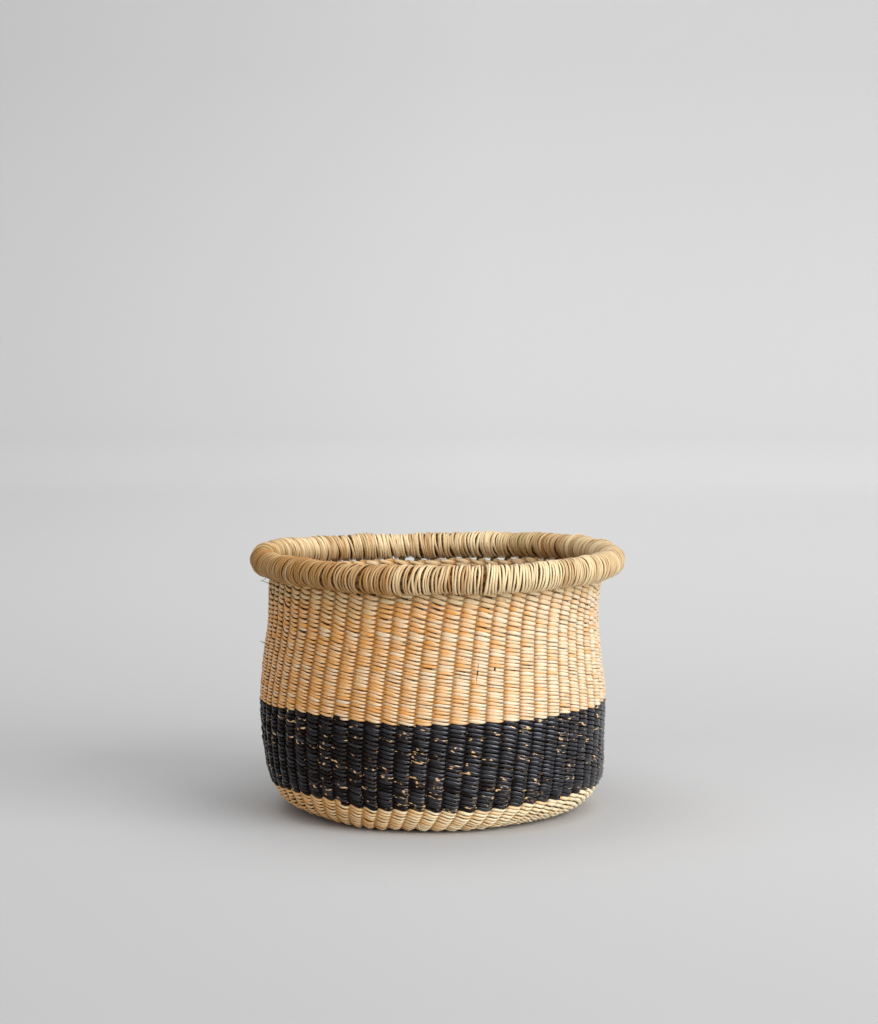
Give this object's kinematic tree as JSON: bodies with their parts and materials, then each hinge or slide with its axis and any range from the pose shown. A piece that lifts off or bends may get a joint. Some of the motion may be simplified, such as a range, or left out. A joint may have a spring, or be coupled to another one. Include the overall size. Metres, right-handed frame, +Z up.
{
  "type": "storage basket",
  "caption": "Round pot-bellied storage basket of twined straw with a flat base, leaning ribs, a dark lower band and a thick wrapped roll rim, open on top.",
  "frame": {"origin": "on the floor under the middle of the flat base", "axes": "+Z up through the open top, -Y towards the side that the picture shows, +X to its right"},
  "size_m": [0.268, 0.268, 0.1866],
  "materials": {
    "natural_straw": "undyed pale straw, matte with a soft sheen",
    "honey_straw": "undyed honey straw, matte with a soft sheen",
    "black_straw": "straw dyed blue-black, soft sheen",
    "rim_straw": "thin undyed straw, olive to tan, soft sheen"
  },
  "bodies": {
    "root": {"cross_stake_x1": "natural_straw", "cross_stake_x2": "natural_straw", "cross_stake_x3": "natural_straw", "cross_stake_x4": "natural_straw", "cross_stake_x5": "natural_straw", "cross_stake_x6": "natural_straw", "cross_stake_x7": "natural_straw", "cross_stake_x8": "natural_straw", "cross_stake_y1": "natural_straw", "cross_stake_y2": "natural_straw", "cross_stake_y3": "natural_straw", "cross_stake_y4": "natural_straw", "cross_stake_y5": "natural_straw", "cross_stake_y6": "natural_straw", "cross_stake_y7": "natural_straw", "cross_stake_y8": "natural_straw", "added_stake_01": "natural_straw", "added_stake_02": "natural_straw", "added_stake_03": "natural_straw", "added_stake_04": "natural_straw", "added_stake_05": "natural_straw", "added_stake_06": "natural_straw", "added_stake_07": "natural_straw", "added_stake_08": "natural_straw", "added_stake_09": "natural_straw", "added_stake_10": "natural_straw", "added_stake_11": "natural_straw", "added_stake_12": "natural_straw", "added_stake_13": "natural_straw", "added_stake_14": "natural_straw", "added_stake_15": "natural_straw", "added_stake_16": "natural_straw", "added_stake_17": "natural_straw", "added_stake_18": "natural_straw", "added_stake_19": "natural_straw", "added_stake_20": "natural_straw", "added_stake_21": "natural_straw", "added_stake_22": "natural_straw", "added_stake_23": "natural_straw", "added_stake_24": "natural_straw", "added_stake_25": "natural_straw", "added_stake_26": "natural_straw", "added_stake_27": "natural_straw", "added_stake_28": "natural_straw", "added_stake_29": "natural_straw", "added_stake_30": "natural_straw", "added_stake_31": "natural_straw", "added_stake_32": "natural_straw", "base_start_weft": "natural_straw", "base_weft": "natural_straw", "black_band_weft": "black_straw", "upper_wall_weft": "honey_straw", "rim_core": "rim_straw", "rim_wrap_1": "rim_straw", "rim_wrap_2": "rim_straw", "rim_wrap_3": "rim_straw", "rim_wrap_4": "rim_straw"}
  },
  "joints": []
}
